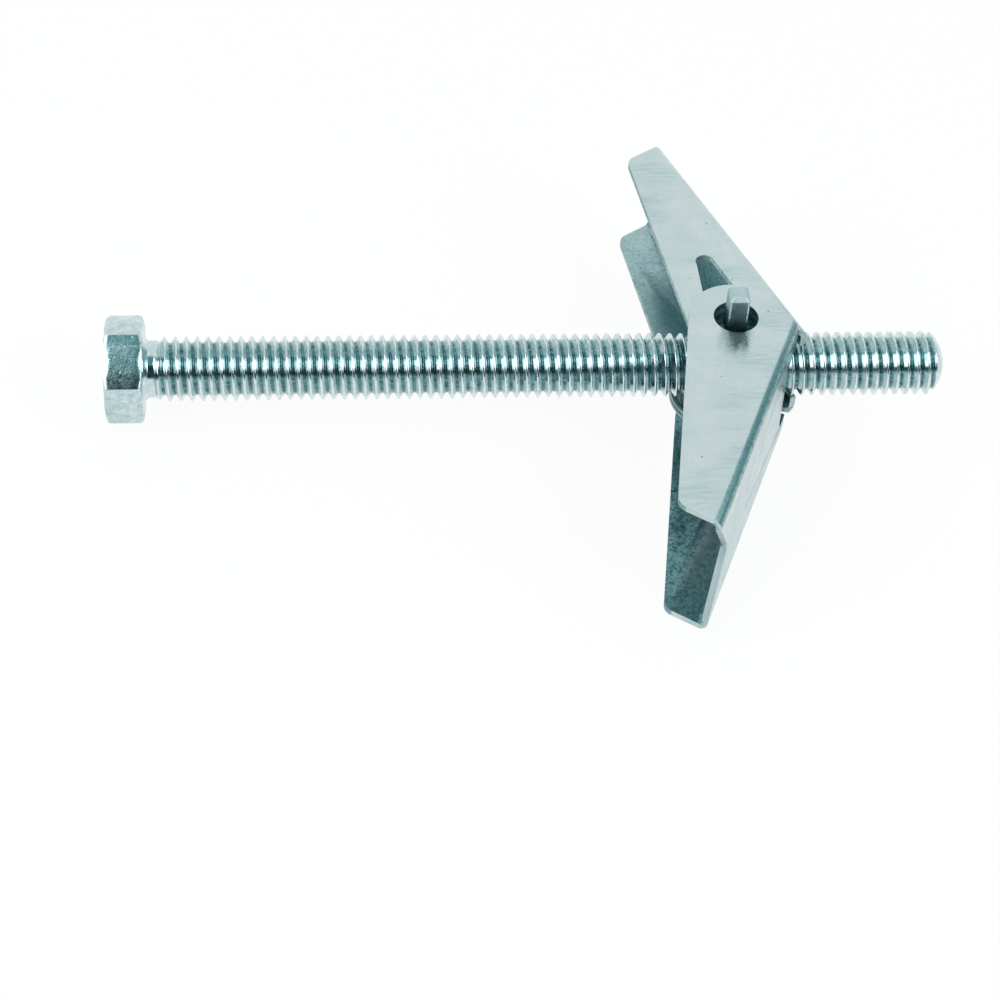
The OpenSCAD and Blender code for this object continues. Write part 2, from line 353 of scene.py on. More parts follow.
def finish_tree(tree, geometry, material, sink, merge_distance):
    """Merges doubles, shades smooth, realizes instances and sets the material."""
    link = tree.links.new
    merge = tree.nodes.new("GeometryNodeMergeByDistance")
    merge.inputs["Distance"].default_value = merge_distance
    smooth = tree.nodes.new("GeometryNodeSetShadeSmooth")
    realize = tree.nodes.new("GeometryNodeRealizeInstances")
    paint = tree.nodes.new("GeometryNodeSetMaterial")
    link(geometry, merge.inputs["Geometry"])
    link(merge.outputs["Geometry"], smooth.inputs["Geometry"])
    link(smooth.outputs["Geometry"], realize.inputs["Geometry"])
    link(realize.outputs["Geometry"], paint.inputs["Geometry"])
    link(material, paint.inputs["Material"])
    link(paint.outputs["Geometry"], sink.inputs["Geometry"])


def grown_mesh(name, tree, values):
    """The plain mesh that a geometry tree makes with these input values."""
    host = new_object(name + "_host", bpy.data.meshes.new(name + "_host"))
    modifier = host.modifiers.new(name, "NODES")
    modifier.node_group = tree
    for item in tree.interface.items_tree:
        if item.item_type == "SOCKET" and item.in_out == "INPUT":
            modifier[item.identifier] = values[item.name]
    mesh = evaluated_mesh(host)
    bpy.data.objects.remove(host)
    return mesh


def evaluated_mesh(obj):
    """A plain mesh of the object with its modifiers applied."""
    bpy.context.view_layer.update()
    graph = bpy.context.evaluated_depsgraph_get()
    return bpy.data.meshes.new_from_object(obj.evaluated_get(graph), depsgraph=graph)


# Mesh helpers


def new_object(name, data):
    """A new object, linked to the scene."""
    obj = bpy.data.objects.new(name, data)
    bpy.context.scene.collection.objects.link(obj)
    return obj


def add_piece(name, mesh):
    """A new object for a finished mesh."""
    mesh.name = name
    return new_object(name, mesh)


def copied_cad(node):
    """A merged copy of a CAD node's mesh, with flat faces joined."""
    work = bmesh.new()
    work.from_mesh(frame["nodes"][node].data)
    bmesh.ops.remove_doubles(work, verts=work.verts, dist=0.0005 * MM)
    bmesh.ops.dissolve_limit(
        work, angle_limit=math.radians(0.4), verts=work.verts, edges=work.edges,
    )
    mesh = bpy.data.meshes.new(node + "_copy")
    work.to_mesh(mesh)
    work.free()
    return mesh


def rounded(mesh, width, angle):
    """The mesh with its sharp edges rounded to a width, as a new plain mesh."""
    host = new_object("rounding_host", mesh)
    for face in mesh.polygons:
        face.use_smooth = True
    bevel = host.modifiers.new("Rounding", "BEVEL")
    bevel.width = width
    bevel.segments = 3
    bevel.limit_method = "ANGLE"
    bevel.angle_limit = math.radians(angle)
    bevel.use_clamp_overlap = True
    bevel.harden_normals = True
    bevel.miter_outer = "MITER_ARC"
    result = evaluated_mesh(host)
    bpy.data.objects.remove(host)
    return result


def mark_rims(mesh):
    """Stores how sharply each point sticks out in the attribute rim, from 0 to 1."""
    work = bmesh.new()
    work.from_mesh(mesh)
    values = []
    for vert in work.verts:
        bend = [e.calc_face_angle_signed(0.0) for e in vert.link_edges if len(e.link_faces) == 2]
        sharpest = math.degrees(max(bend, default=0.0))
        values.append(min(1.0, max(0.0, (sharpest - RIM_START) / (RIM_FULL - RIM_START))))
    work.free()
    store_mask(mesh, "rim", values)


def store_mask(mesh, name, values):
    """Stores one value a point under a name."""
    attribute = mesh.attributes.new(name, "FLOAT", "POINT")
    attribute.data.foreach_set("value", np.asarray(values, np.float32))


def mark_faces(mesh, name, chosen):
    """Stores 1 under a name at the points of the chosen faces, and 0 at the others."""
    values = np.zeros(len(mesh.vertices))
    for face in mesh.polygons:
        if chosen(face):
            values[list(face.vertices)] = 1.0
    store_mask(mesh, name, values)


def set_materials(mesh, *materials):
    """Gives a mesh these materials and no other."""
    mesh.materials.clear()
    for material in materials:
        mesh.materials.append(material)


def joined(meshes):
    """One mesh made of several, shaded smooth."""
    work = bmesh.new()
    for mesh in meshes:
        work.from_mesh(mesh)
    result = bpy.data.meshes.new("joined")
    work.to_mesh(result)
    work.free()
    for face in result.polygons:
        face.use_smooth = True
    return result


# Shader groups


def shader_group(name, inputs, outputs):
    """A new shader group with named sockets, and its Formula, input and output nodes."""
    tree = bpy.data.node_groups.new(name, "ShaderNodeTree")
    for label, kind, value in inputs:
        socket = tree.interface.new_socket(label, in_out="INPUT", socket_type=kind)
        if value is not None:
            socket.default_value = value
    for label, kind in outputs:
        tree.interface.new_socket(label, in_out="OUTPUT", socket_type=kind)
    source = tree.nodes.new("NodeGroupInput")
    sink = tree.nodes.new("NodeGroupOutput")
    return tree, Formula(tree), source.outputs, sink.inputs


FLOAT = "NodeSocketFloat"
VECTOR = "NodeSocketVector"


def noise(tree, place, scale, detail, roughness=0.55):
    """A noise texture's value on a place vector."""
    node = tree.nodes.new("ShaderNodeTexNoise")
    formula = Formula(tree)
    tree.links.new(place, node.inputs["Vector"])
    formula.put(node.inputs["Scale"], scale)
    node.inputs["Detail"].default_value = detail
    node.inputs["Roughness"].default_value = roughness
    return node.outputs[0]


def stretched(tree, place, scale):
    """The place vector scaled three ways, for a drawn-out pattern."""
    node = tree.nodes.new("ShaderNodeMapping")
    node.inputs["Scale"].default_value = scale
    tree.links.new(place, node.inputs["Vector"])
    return node.outputs[0]


def colour_mix(tree, amount, a, b):
    """A colour mixed from a to b."""
    node = tree.nodes.new("ShaderNodeMix")
    node.data_type = "RGBA"
    formula = Formula(tree)
    formula.put(node.inputs["Factor"], amount)
    for label, value in (("A", a), ("B", b)):
        socket = [s for s in node.inputs if s.name == label and s.type == "RGBA"][0]
        formula.put(socket, value)
    return [s for s in node.outputs if s.type == "RGBA"][0]


def crystal_group():
    """Crystals, clouds and pits of a thin zinc coat."""
    tree, formula, given, result = shader_group(
        "Zinc crystals",
        [("Place", VECTOR, None), ("Crystal Size", FLOAT, 0.6), ("Cloud Size", FLOAT, 4.0),
         ("Pits", FLOAT, 0.5)],
        [("Crystals", FLOAT), ("Clouds", FLOAT), ("Grain", FLOAT), ("Pits", FLOAT)],
    )
    place = given["Place"]
    link = tree.links.new
    metre_scale = formula.math("DIVIDE", 1 / MM, given["Crystal Size"])
    cells = tree.nodes.new("ShaderNodeTexVoronoi")
    link(place, cells.inputs["Vector"])
    link(metre_scale, cells.inputs["Scale"])
    split = tree.nodes.new("ShaderNodeSeparateColor")
    link(cells.outputs["Color"], split.inputs["Color"])
    link(split.outputs[0], result["Crystals"])
    cloud_scale = formula.math("DIVIDE", 1 / MM, given["Cloud Size"])
    clouds = noise(tree, place, cloud_scale, detail=4, roughness=0.6)
    link(formula.ramp(clouds, 0.32, 0.70), result["Clouds"])
    grain = noise(tree, place, 5.5 / MM, detail=5, roughness=0.7)
    link(grain, result["Grain"])
    spots = tree.nodes.new("ShaderNodeTexVoronoi")
    spots.inputs["Scale"].default_value = 0.55 / MM
    link(place, spots.inputs["Vector"])
    near = formula.sub(1.0, formula.ramp(spots.outputs["Distance"], 0.03, 0.085))
    link(formula.mul(near, given["Pits"]), result["Pits"])
    return tree


def scuff_group():
    """Fine draw lines and small scratches."""
    tree, formula, given, result = shader_group(
        "Draw lines and scratches",
        [("Place", VECTOR, None), ("Amount", FLOAT, 0.5)],
        [("Lines", FLOAT), ("Scratches", FLOAT), ("Bands", FLOAT)],
    )
    place = given["Place"]
    link = tree.links.new
    fine = stretched(tree, place, (0.12, 1.0, 1.0))
    lines = noise(tree, fine, 6 / MM, detail=3, roughness=0.6)
    link(formula.mul(lines, given["Amount"]), result["Lines"])
    long = stretched(tree, place, (0.1, 1.0, 1.0))
    drawn = noise(tree, long, 2.6 / MM, detail=4, roughness=0.65)
    wide = stretched(tree, place, (0.5, 1.0, 1.0))
    where = noise(tree, wide, 0.22 / MM, detail=2, roughness=0.5)
    bands = formula.mul(formula.ramp(drawn, 0.40, 0.62),
                        formula.ramp(where, 0.46, 0.62, soft=True))
    link(bands, result["Bands"])
    warp = noise(tree, place, 0.25 / MM, detail=2)
    bent = tree.nodes.new("ShaderNodeVectorMath")
    bent.operation = "ADD"
    link(place, bent.inputs[0])
    link(place_vector(tree, formula.mul(warp, 2 * MM), 0.0, 0.0), bent.inputs[1])
    drawn_out = stretched(tree, bent.outputs[0], (0.1, 1.0, 0.6))
    marks = formula.ramp(noise(tree, drawn_out, 1.6 / MM, detail=2, roughness=0.4), 0.64, 0.72)
    link(formula.mul(marks, given["Amount"]), result["Scratches"])
    return tree


def wear_group():
    """Bright wear where the attribute rim is high, broken up by noise."""
    tree, formula, given, result = shader_group(
        "Rim wear",
        [("Place", VECTOR, None), ("Amount", FLOAT, 0.6)],
        [("Wear", FLOAT)],
    )
    rim = tree.nodes.new("ShaderNodeAttribute")
    rim.attribute_name = "rim"
    broken = formula.ramp(noise(tree, given["Place"], 1.8 / MM, detail=3), 0.25, 0.65)
    worn = formula.mul(formula.mul(rim.outputs["Fac"], broken), given["Amount"])
    tree.links.new(worn, result["Wear"])
    return tree


def group_node(tree, name, build, place, values):
    """Places a shader group, which is built once, with its own values."""
    node = tree.nodes.new("ShaderNodeGroup")
    node.node_tree = bpy.data.node_groups.get(name) or build()
    tree.links.new(place, node.inputs["Place"])
    for label, value in values.items():
        node.inputs[label].default_value = value
    return node.outputs


def point_mask(tree, name):
    """The value of a stored point attribute."""
    node = tree.nodes.new("ShaderNodeAttribute")
    node.attribute_name = name
    return node.outputs["Fac"]


def plated_metal(name, base, deep, roughness, crystal, cloud, bump_height, wear, mottle,
                 shade=0.0, streaks=0.0, shade_colour=None, cut=0.0):
    """Bright zinc plating with crystals, clouds, grain, scratches and worn rims.

    With shade, the places marked shade get painted shade, a darker and rougher colour with dark
    speckle, and with cut those marked cut are rougher.
    """
    material = bpy.data.materials.new(name)
    material.use_nodes = True
    tree = material.node_tree
    formula = Formula(tree)
    shader = tree.nodes["Principled BSDF"]
    shader.inputs["Metallic"].default_value = 1.0
    place = tree.nodes.new("ShaderNodeTexCoord").outputs["Object"]
    coat = group_node(tree, "Zinc crystals", crystal_group, place,
                      {"Crystal Size": crystal, "Cloud Size": cloud, "Pits": 1.0})
    scuffs = group_node(tree, "Draw lines and scratches", scuff_group, place, {"Amount": 0.6})
    worn = group_node(tree, "Rim wear", wear_group, place, {"Amount": wear})
    patches = formula.total(formula.mul(coat["Clouds"], 0.5), (coat["Crystals"], 0.25),
                            (coat["Grain"], 0.25))
    patches = formula.mul(patches, mottle)
    colour = colour_mix(tree, formula.least(patches, 1.0), (*base, 1.0), (*deep, 1.0))
    if streaks:
        banded = formula.mul(scuffs["Bands"], streaks)
        colour = colour_mix(tree, banded, colour, (*deep, 1.0))
    # Painted shade: places marked shade are mixed towards a darker teal, with darker speckle
    # where the shade is deep
    if shade:
        shaded = formula.mul(point_mask(tree, "shade"), shade)
        shade_colour = tuple(shade_colour or bpy.context.scene.toggle_finish.painted_shade_plating)
        colour = colour_mix(tree, formula.least(shaded, 1.0), colour, (*shade_colour, 1.0))
        speckle = formula.total(formula.mul(coat["Crystals"], 0.8), (coat["Clouds"], 0.3))
        speckle = formula.ramp(formula.mul(speckle, shaded), 0.25, 0.95)
        deep_shade_colour = tuple(0.2 * c for c in shade_colour)
        colour = colour_mix(tree, formula.mul(speckle, 0.85), colour, (*deep_shade_colour, 1.0))
    colour = colour_mix(tree, formula.mul(coat["Pits"], 0.7), colour, PIT_COLOUR)
    bright = tuple(min(1.0, 1.12 * c + 0.08) for c in base)
    colour = colour_mix(tree, worn["Wear"], colour, (*bright, 1.0))
    tree.links.new(colour, shader.inputs["Base Color"])
    rough = formula.total(roughness, (formula.sub(coat["Crystals"], 0.5), 0.10),
                          (formula.sub(coat["Clouds"], 0.5), 0.12), (scuffs["Scratches"], 0.12))
    if shade:
        rough = formula.total(rough, (shaded, 0.12))
    if cut:
        rough = formula.total(rough, (point_mask(tree, "cut"), cut))
    rough = formula.total(rough, (worn["Wear"], -0.08))
    tree.links.new(formula.most(rough, 0.05), shader.inputs["Roughness"])
    height = formula.total(coat["Grain"], (scuffs["Lines"], 0.5), (coat["Pits"], -1.6),
                           (scuffs["Scratches"], -0.7), (coat["Clouds"], 1.2))
    bump = tree.nodes.new("ShaderNodeBump")
    bump.inputs["Distance"].default_value = bump_height * MM
    tree.links.new(height, bump.inputs["Height"])
    tree.links.new(bump.outputs["Normal"], shader.inputs["Normal"])
    return material


def screw_plating():
    """Bright plating of the thread, with painted shade in its grooves."""
    finish = bpy.context.scene.toggle_finish
    return plated_metal("Plated screw steel", finish.thread_plating, finish.plating_deep,
                        roughness=0.16, crystal=0.25, cloud=1.3, bump_height=0.0018, wear=0.6,
                        mottle=0.75, shade=1.0)


def head_plating():
    """Bright, finely mottled plating of the head."""
    finish = bpy.context.scene.toggle_finish
    return plated_metal("Plated head steel", finish.thread_plating, finish.plating_deep,
                        roughness=0.20, crystal=0.16, cloud=0.9, bump_height=0.008, wear=0.5,
                        mottle=1.0)


def sheet_plating():
    """Bright plating of the wings, with painted shade inside, on the webs and along the outer
    fold, and matt where the sheet is sheared.
    """
    finish = bpy.context.scene.toggle_finish
    return plated_metal("Plated sheet", finish.plating, finish.plating_deep, roughness=0.26,
                        crystal=0.22, cloud=2.6, bump_height=0.005, wear=0.9, mottle=0.30,
                        shade=1.0, streaks=0.4, cut=0.34)


def nut_plating():
    """Plating of the nut, with painted shade on the barrel and the lugs' sides, and matt where
    the lugs are sheared.
    """
    finish = bpy.context.scene.toggle_finish
    return plated_metal("Plated nut steel", finish.plating, finish.plating_deep, roughness=0.32,
                        crystal=0.3, cloud=2.0, bump_height=0.006, wear=0.9, mottle=0.45,
                        shade=1.0, shade_colour=tuple(0.5 * c for c in finish.painted_shade_plating), cut=0.3)


def spring_steel():
    """Drawn, thinly coated spring wire."""
    finish = bpy.context.scene.toggle_finish
    deep = tuple(0.6 * c for c in finish.wire_steel)
    return plated_metal("Drawn spring wire", finish.wire_steel, deep, roughness=0.24,
                        crystal=0.3, cloud=1.2, bump_height=0.003, wear=0.3, mottle=0.7)


# Screw


def thread_tree():
    """A helical strip, one pitch wide, wound into the shank with its neck and domed tip."""
    tree, formula, given, sink = geometry_tree(
        "Threaded shank",
        ["Thread Radius", "Pitch", "Thread Depth", "Thread Start", "Shank Start", "Shank Length",
         "Neck Length", "Neck Radius", "Root Cone", "Tip Radius", "Turns"],
        ["Steps Round", "Steps Across"],
    )
    link = tree.links.new
    strip = tree.nodes.new("GeometryNodeMeshGrid")
    strip.inputs["Size X"].default_value = 1.0
    strip.inputs["Size Y"].default_value = 1.0
    rows = formula.add(formula.mul(given["Turns"], given["Steps Round"]), 1.0)
    link(rows, strip.inputs["Vertices X"])
    link(formula.add(given["Steps Across"], 1.0), strip.inputs["Vertices Y"])
    spot = tree.nodes.new("ShaderNodeSeparateXYZ")
    link(tree.nodes.new("GeometryNodeInputPosition").outputs[0], spot.inputs[0])
    turn = formula.mul(formula.add(spot.outputs["X"], 0.5), given["Turns"])
    across = formula.add(spot.outputs["Y"], 0.5)
    wound = formula.mul(given["Pitch"], formula.add(turn, across))
    along = formula.add(given["Shank Start"], wound)
    x = formula.least(formula.most(along, given["Shank Start"]), given["Shank Length"])

    from_crest = formula.least(across, formula.sub(1.0, across))
    flank = formula.ramp(from_crest, CREST_SHARE, FLANK_SHARE)
    thread = formula.sub(given["Thread Radius"], formula.mul(given["Thread Depth"], flank))
    cone = formula.most(formula.sub(given["Root Cone"], x), 0.0)
    neck = formula.add(given["Neck Radius"], formula.least(cone, given["Root Cone"]))
    thread_end = formula.add(given["Neck Length"], given["Pitch"])
    runout = formula.ramp(x, given["Neck Length"], thread_end, soft=True)
    shank = formula.mix(runout, neck, thread)
    from_centre = formula.sub(x, formula.sub(given["Shank Length"], given["Tip Radius"]))
    from_centre = formula.most(from_centre, 0.0)
    square = formula.sub(formula.mul(given["Tip Radius"], given["Tip Radius"]),
                         formula.mul(from_centre, from_centre))
    dome = formula.math("SQRT", formula.most(square, 0.0))
    radius = formula.least(shank, dome)
    past_start = formula.math("GREATER_THAN", along, given["Shank Start"])
    past_end = formula.math("GREATER_THAN", along, given["Shank Length"])
    radius = formula.mul(formula.mul(radius, past_start), formula.sub(1.0, past_end))

    angle = formula.add(formula.mul(turn, TURN), given["Thread Start"])
    target = place_vector(tree, x, formula.mul(radius, formula.math("COSINE", angle)),
                          formula.mul(radius, formula.math("SINE", angle)))
    wind = tree.nodes.new("GeometryNodeSetPosition")
    link(strip.outputs["Mesh"], wind.inputs["Geometry"])
    link(target, wind.inputs["Position"])
    finish_tree(tree, wind.outputs["Geometry"], given["Material"], sink, 0.004 * MM)
    return tree


def threaded_shank(material):
    """The shank's plain mesh: neck, full thread and domed tip."""
    sizes = bpy.context.scene.toggle_screw
    start = -sizes.pitch
    return grown_mesh("threaded_shank", thread_tree(), {
        "Thread Radius": THREAD_RADIUS,
        "Pitch": sizes.pitch,
        "Thread Depth": sizes.thread_depth,
        "Thread Start": sizes.thread_start,
        "Shank Start": start,
        "Shank Length": SCREW_LENGTH,
        "Neck Length": sizes.neck_length,
        "Neck Radius": THREAD_RADIUS - sizes.neck_depth,
        "Root Cone": sizes.root_cone,
        "Tip Radius": sizes.tip_radius,
        "Turns": float(math.ceil((SCREW_LENGTH - start) / sizes.pitch)),
        "Steps Round": sizes.steps_round,
        "Steps Across": sizes.steps_across,
        "Material": material,
    })


def hexagon_head():
    """The head: six facets that curve in at both ends, and two faces turned to a cone."""
    sizes = bpy.context.scene.toggle_screw
    head = SCREW[SCREW[:, 0] < -0.1 * MM]
    radii = np.hypot(head[:, 1], head[:, 2])
    corner = head[int(radii.argmax())]
    turn = math.atan2(corner[2], corner[1])
    flat_radius = float(radii.max()) * math.cos(TURN / 12)
    face_radius = radius_between(SCREW, -HEAD_THICKNESS - MM, -HEAD_THICKNESS + 0.001 * MM)
    seat_radius = flat_radius + SEAT_WIDTH
    work = bmesh.new()
    rings = []
    angles = [turn + step / (6 * FACET_STEPS) * TURN for step in range(6 * FACET_STEPS)]
    for step, angle in enumerate(angles):
        within = ((step % FACET_STEPS) / FACET_STEPS - 0.5) * TURN / 6
        spread = 12 * within / TURN
        fade = math.exp(-(spread / END_WIDTH) ** 2)
        reach = flat_radius / math.cos(within)
        top = -HEAD_THICKNESS + CONE_SLOPE * max(reach - face_radius, 0.0)
        foot = -CONE_SLOPE * max(reach - seat_radius, 0.0)
        ring = []
        for row in range(FACET_ROWS + 1):
            x = top + (foot - top) * (0.5 - 0.5 * math.cos(math.pi * row / FACET_ROWS))
            near_end = min(max(0.0, 1.0 - min(x - top, foot - x) / sizes.facet_curve), 1.0)
            turned = max(0.0, 3.0 * near_end - 2.0) ** ROUND_POWER
            r = reach - sizes.facet_drop * fade * near_end ** DROP_POWER
            r -= sizes.end_roundness * turned * (reach - flat_radius)
            r -= sizes.facet_crown * abs(spread) ** CROWN_POWER
            ring.append(work.verts.new((x, r * math.cos(angle), r * math.sin(angle))))
        rings.append(ring)
    for a, b in zip(rings, rings[1:] + rings[:1]):
        for low in range(FACET_ROWS):
            work.faces.new((a[low], a[low + 1], b[low + 1], b[low]))
    r = FACE_SHARE * face_radius
    for row, x in ((0, -HEAD_THICKNESS), (FACET_ROWS, 0.0)):
        inner = [work.verts.new((x, r * math.cos(a), r * math.sin(a))) for a in angles]
        for a, b, c, d in zip(rings, rings[1:] + rings[:1], inner[1:] + inner[:1], inner):
            work.faces.new((a[row], b[row], c, d))
        work.faces.new(inner)
    bmesh.ops.recalc_face_normals(work, faces=work.faces)
    mesh = bpy.data.meshes.new("hexagon_head")
    work.to_mesh(mesh)
    work.free()
    return mesh


def mark_groove_shade(mesh):
    """Stores in the attribute shade how much painted shade each point gets, rising with its depth
    in the thread.
    """
    sizes = bpy.context.scene.toggle_screw
    points = points_of(mesh)
    depth = (THREAD_RADIUS - np.hypot(points[:, 1], points[:, 2])) / sizes.thread_depth
    on_thread = (points[:, 0] > sizes.neck_length) & (points[:, 0] < SCREW_LENGTH - sizes.pitch)
    store_mask(mesh, "shade", np.clip((depth - GROOVE_START) / GROOVE_SPAN, 0, 1) * on_thread)


class TOGGLE_OT_screw(bpy.types.Operator):
    """Builds the hexagon-head screw with its full thread"""

    bl_idname = "toggle.screw"
    bl_label = "Threaded screw"

    def execute(self, context):
        material = screw_plating()
        shank = threaded_shank(material)
        head = rounded(hexagon_head(), context.scene.toggle_screw.head_edge, SOLID_CORNER)
        mesh = joined([shank, head])
        set_materials(mesh, material, head_plating())
        for face in list(mesh.polygons)[len(shank.polygons):]:
            face.material_index = 1
        mark_rims(mesh)
        mark_groove_shade(mesh)
        piece = add_piece("threaded_screw", mesh)
        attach(piece, "screw")
        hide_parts("screw")
        return {"FINISHED"}


# Wings and nut


def mark_wing_shade(mesh, wing):
    """Stores in the attribute shade how much painted shade each side of a folded wing gets."""
    points = cad_points(wing)
    middle = (points[:, 2].min() + points[:, 2].max()) / 2
    values = np.zeros(len(mesh.vertices))
    for face in mesh.polygons:
        corners = list(face.vertices)
        if face.normal.z > SQUARE and face.center.z < middle:
            values[corners] = INSIDE_PAINTED_SHADE[wing]
        elif face.normal.x < -MOSTLY:
            values[corners] = HEAD_SIDE_PAINTED_SHADE
        elif face.normal.x > MOSTLY:
            values[corners] = TIP_SIDE_PAINTED_SHADE
        elif face.normal.z < -SQUARE and face.center.z > middle:
            values[corners] = ROOF_PAINTED_SHADE
    if wing == "outer_wing":
        for face in mesh.polygons:
            # Slanting strips of the outer fold get a painted dark band
            x, y, z = face.normal
            if 0.2 < abs(z) < 0.95 and x > 0.25 and y < -0.1:
                corners = list(face.vertices)
                values[corners] = np.maximum(values[corners], FOLD_PAINTED_SHADE)
    store_mask(mesh, "shade", values)


def mark_cuts(mesh, wing):
    """Stores in the attribute cut which points lie on the sheared ends of the sheet."""
    side = 1 if wing == "inner_wing" else -1
    along = Vector((-math.sin(WING_LEAN), side * math.cos(WING_LEAN), 0.0))
    mark_faces(mesh, "cut", lambda face: abs(face.normal.dot(along)) > HALFWAY)


class TOGGLE_OT_wings(bpy.types.Operator):
    """Builds the two folded sheet wings with rounded cut edges"""

    bl_idname = "toggle.wings"
    bl_label = "Folded wings"

    def execute(self, context):
        material = sheet_plating()
        for wing in ("inner_wing", "outer_wing"):
            sheet_edge = context.scene.toggle_sheet.sheet_edge
            mesh = rounded(copied_cad(wing), sheet_edge, SHEET_CORNER)
            set_materials(mesh, material)
            mark_rims(mesh)
            mark_wing_shade(mesh, wing)
            mark_cuts(mesh, wing)
            piece = add_piece(wing + "_sheet", mesh)
            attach(piece, wing)
            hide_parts(wing)
        return {"FINISHED"}


def chamfer_lugs(mesh, width):
    """Chamfers the edges round the end of each lug."""
    work = bmesh.new()
    work.from_mesh(mesh)
    reach = max(abs(vert.co.z) for vert in work.verts) - 0.01 * MM
    ends = [face for face in work.faces if all(abs(vert.co.z) > reach for vert in face.verts)]
    for face in ends:
        centre = face.calc_center_bounds()
        half_x = max(abs(vert.co.x - centre.x) for vert in face.verts)
        half_y = max(abs(vert.co.y - centre.y) for vert in face.verts)
        wall = list(face.verts)
        end = bmesh.ops.extrude_discrete_faces(work, faces=[face])["faces"][0]
        for vert in wall:
            vert.co.z -= math.copysign(width, centre.z)
        for vert in end.verts:
            vert.co.x = centre.x + (vert.co.x - centre.x) * (1.0 - width / half_x)
            vert.co.y = centre.y + (vert.co.y - centre.y) * (1.0 - width / half_y)
    work.to_mesh(mesh)
    work.free()


def mark_lug_ends(mesh):
    """Stores in the attribute cut which points lie on the sheared ends of the lugs."""
    near_end = 0.9 * max(abs(vert.co.z) for vert in mesh.vertices)
    mark_faces(mesh, "cut", lambda face: abs(face.normal.z) > SLIGHTLY
               and abs(face.center.z) > near_end)


class TOGGLE_OT_nut(bpy.types.Operator):
    """Builds the cross nut with its two square lugs"""

    bl_idname = "toggle.nut"
    bl_label = "Cross nut"

    def execute(self, context):
        sizes = context.scene.toggle_sheet
        mesh = copied_cad("nut")
        chamfer_lugs(mesh, sizes.lug_chamfer)
        mesh = rounded(mesh, sizes.nut_edge, SOLID_CORNER)
        set_materials(mesh, nut_plating())
        mark_rims(mesh)
        mark_lug_ends(mesh)
        # Painted shade: full on the barrel near the coil and light on the lugs' sides
        heights = np.abs(points_of(mesh)[:, 2])
        barrel = float(np.abs(cad_points("spring")[:, 2]).max()) + BARREL_SHADE_REACH
        lug_side = heights < heights.max() - sizes.lug_chamfer
        store_mask(mesh, "shade", np.where(heights < barrel, 1.0, LUG_PAINTED_SHADE * lug_side))
        piece = add_piece("cross_nut", mesh)
        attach(piece, "nut")
        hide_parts("nut")
        return {"FINISHED"}


# Spring


def spring_tree():
    """One half of the torsion spring: a straight leg, then a helix with a round wire."""
    tree, formula, given, sink = geometry_tree(
        "Torsion spring half",
        ["Wire", "Coil Radius", "Centre X", "Start Angle", "End Angle", "Start Height",
         "End Height", "Leg X", "Leg Y"],
        ["Points", "Leg Points"],
    )
    link = tree.links.new
    line = tree.nodes.new("GeometryNodeMeshLine")
    link(given["Points"], line.inputs["Count"])
    index = tree.nodes.new("GeometryNodeInputIndex").outputs[0]
    last = formula.sub(given["Points"], 1.0)
    on_coil = formula.ramp(index, given["Leg Points"], last)
    on_leg = formula.ramp(index, 0.0, given["Leg Points"])
    angle = formula.mix(on_coil, given["Start Angle"], given["End Angle"])
    coil_x = formula.mul(given["Coil Radius"], formula.math("COSINE", angle))
    coil_x = formula.add(given["Centre X"], coil_x)
    coil_y = formula.mul(given["Coil Radius"], formula.math("SINE", angle))
    x = formula.mix(on_leg, given["Leg X"], coil_x)
    y = formula.mix(on_leg, given["Leg Y"], coil_y)
    z = formula.mix(on_coil, given["Start Height"], given["End Height"])
    bend = tree.nodes.new("GeometryNodeSetPosition")
    link(line.outputs["Mesh"], bend.inputs["Geometry"])
    link(place_vector(tree, x, y, z), bend.inputs["Position"])
    path = tree.nodes.new("GeometryNodeMeshToCurve")
    link(bend.outputs["Geometry"], path.inputs["Mesh"])
    section = tree.nodes.new("GeometryNodeCurvePrimitiveCircle")
    section.inputs["Resolution"].default_value = WIRE_STEPS
    link(formula.mul(given["Wire"], 0.5), section.inputs["Radius"])
    sweep = tree.nodes.new("GeometryNodeCurveToMesh")
    sweep.inputs["Fill Caps"].default_value = True
    link(path.outputs["Curve"], sweep.inputs["Curve"])
    link(section.outputs["Curve"], sweep.inputs["Profile Curve"])
    finish_tree(tree, sweep.outputs["Mesh"], given["Material"], sink, 0.0005 * MM)
    return tree


